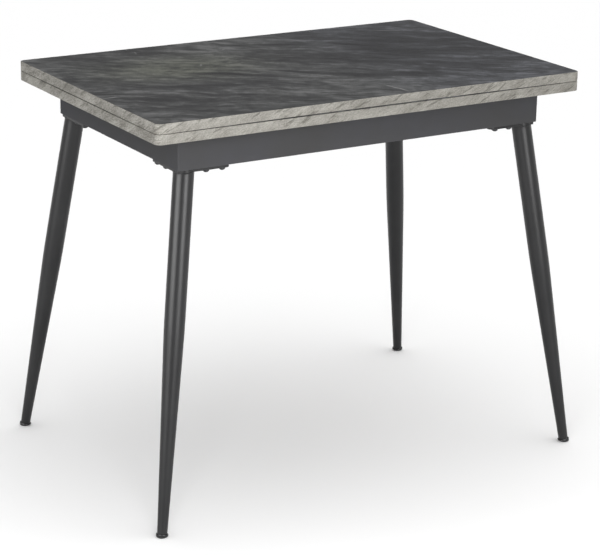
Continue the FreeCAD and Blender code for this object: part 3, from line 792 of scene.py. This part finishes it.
for node, finish in nodeFinishes.items():
    data = frame["nodes"][node].data
    data.materials.clear()
    data.materials.append(finishes[finish])
print("CAD nodes finished:", len(nodeFinishes))


studio = {
    "floorHalf": 16.0,
    "floorSteps": 9,
    "floorTone": (0.89, 0.89, 0.89),
    "sky": [  # sine of the elevation, brightness
        (0.0, 0.50), (0.07, 0.28), (0.16, 0.075), (0.55, 0.075), (0.78, 0.80), (1.0, 1.0),
    ],
    "skyStrength": 2.15,
    "skyLean": 0.60,       # share by which the sky is brighter towards +X, and darker towards -X
    "aim": (0, 0, 0.45),
    # the matt key light has no reflection, and the side boxes show only as reflections
    "lights": [
        {"name": "keyBox", "place": (-0.95, -1.45, 1.0), "size": (0.8, 0.8), "radiance": 5.8,
         "matt": True},
        {"name": "leftBox", "place": (-3.2, -0.85, 0.92), "size": (2.4, 1.1), "radiance": 11.0,
         "matt": False},
        {"name": "frontBox", "place": (-0.05, -2.3, 0.85), "size": (1.2, 1.1), "radiance": 10.2,
         "matt": False},
    ],
}
cameraSetup = {
    "place": (-1.9678, -3.2274, 1.5769),
    "heading": math.radians(31.502),
    "dip": math.radians(18.285),
    "roll": math.radians(0.956),
    "lens": 121.85,
    "sensor": 36.0,
    "farthest": 60.0,
}


def makeFloor():
    # a flat square grid at height 0
    half, steps = studio["floorHalf"], studio["floorSteps"]
    edge = np.linspace(-half, half, steps)
    x, y = np.meshgrid(edge, edge, indexing="ij")
    places = np.stack([x, y, np.zeros_like(x)], -1).reshape(-1, 3)
    index = np.arange(steps ** 2).reshape(steps, steps)
    quads = [index[:-1, :-1], index[1:, :-1], index[1:, 1:], index[:-1, 1:]]
    mesh = bpy.data.meshes.new("floor")
    mesh.from_pydata(places.tolist(), [], np.stack(quads, -1).reshape(-1, 4).tolist())
    floor = bpy.data.objects.new("floor", mesh)
    bpy.context.scene.collection.objects.link(floor)
    f = Finish("studio_floor")
    tone = studio["floorTone"]
    mesh.materials.append(f.shader(baseColor=tone, roughness=0.9, specularIorLevel=0.0))


def lookAlong(place, direction, roll=0.0):
    # a frame whose -Z looks along the direction and whose X stays level, then rolled about the
    # view; the direction mustn't be vertical
    forward = Vector(direction).normalized()
    right = forward.cross(Vector((0, 0, 1))).normalized()
    up = right.cross(forward)
    rolledRight = math.cos(roll) * right + math.sin(roll) * up
    rolledUp = math.cos(roll) * up - math.sin(roll) * right
    turn = Matrix((rolledRight, rolledUp, -forward)).transposed().to_4x4()
    return Matrix.Translation(Vector(place)) @ turn


def makeLights():
    # rectangles facing one point; a lamp's power is its radiance times pi times its area
    aim = Vector(studio["aim"])
    for settings in studio["lights"]:
        lamp = bpy.data.lights.new(settings["name"], "AREA")
        lamp.shape = "RECTANGLE"
        lamp.size, lamp.size_y = settings["size"]
        lamp.energy = settings["radiance"] * math.pi * lamp.size * lamp.size_y
        made = bpy.data.objects.new(settings["name"], lamp)
        bpy.context.scene.collection.objects.link(made)
        made.matrix_world = lookAlong(settings["place"], aim - Vector(settings["place"]))
        made.visible_camera = False
        made.visible_glossy = not settings["matt"]
        made.visible_diffuse = settings["matt"]


def makeSky():
    # a dark band above the horizon, a broad soft ceiling of light above it
    world = bpy.data.worlds.new("studio")
    world.use_nodes = True
    nodes, links = world.node_tree.nodes, world.node_tree.links
    direction = nodes.new("ShaderNodeTexCoord")
    height = nodes.new("ShaderNodeSeparateXYZ")
    lean = nodes.new("ShaderNodeMath")
    ramp = nodes.new("ShaderNodeValToRGB")
    elements = ramp.color_ramp.elements
    for number, (position, tone) in enumerate(studio["sky"]):
        stop = elements[number] if number < 2 else elements.new(position)
        stop.position = position
        stop.color = (tone, tone, tone, 1.0)
    links.new(direction.outputs["Generated"], height.inputs[0])
    links.new(height.outputs["Z"], ramp.inputs["Fac"])
    back = nodes["Background"]
    links.new(ramp.outputs["Color"], back.inputs["Color"])
    strength = studio["skyStrength"]
    lean.operation = "MULTIPLY_ADD"
    links.new(height.outputs["X"], lean.inputs[0])
    lean.inputs[1].default_value = studio["skyLean"] * strength
    lean.inputs[2].default_value = strength
    links.new(lean.outputs[0], back.inputs["Strength"])
    bpy.context.scene.world = world


def makeCamera():
    # heading is measured from +Y towards +X, dip downwards from level
    setup = cameraSetup
    lens = bpy.data.cameras.new("camera")
    lens.sensor_fit = "HORIZONTAL"
    lens.sensor_width = setup["sensor"]
    lens.lens = setup["lens"]
    lens.clip_end = setup["farthest"]
    made = bpy.data.objects.new("camera", lens)
    bpy.context.scene.collection.objects.link(made)
    heading, dip = setup["heading"], setup["dip"]
    level = math.cos(dip)
    forward = (math.sin(heading) * level, math.cos(heading) * level, -math.sin(dip))
    made.matrix_world = lookAlong(setup["place"], forward, setup["roll"])
    bpy.context.scene.camera = made


makeFloor()
makeLights()
makeSky()
makeCamera()
bpy.context.scene.view_settings.view_transform = "Standard"
print("studio ready")
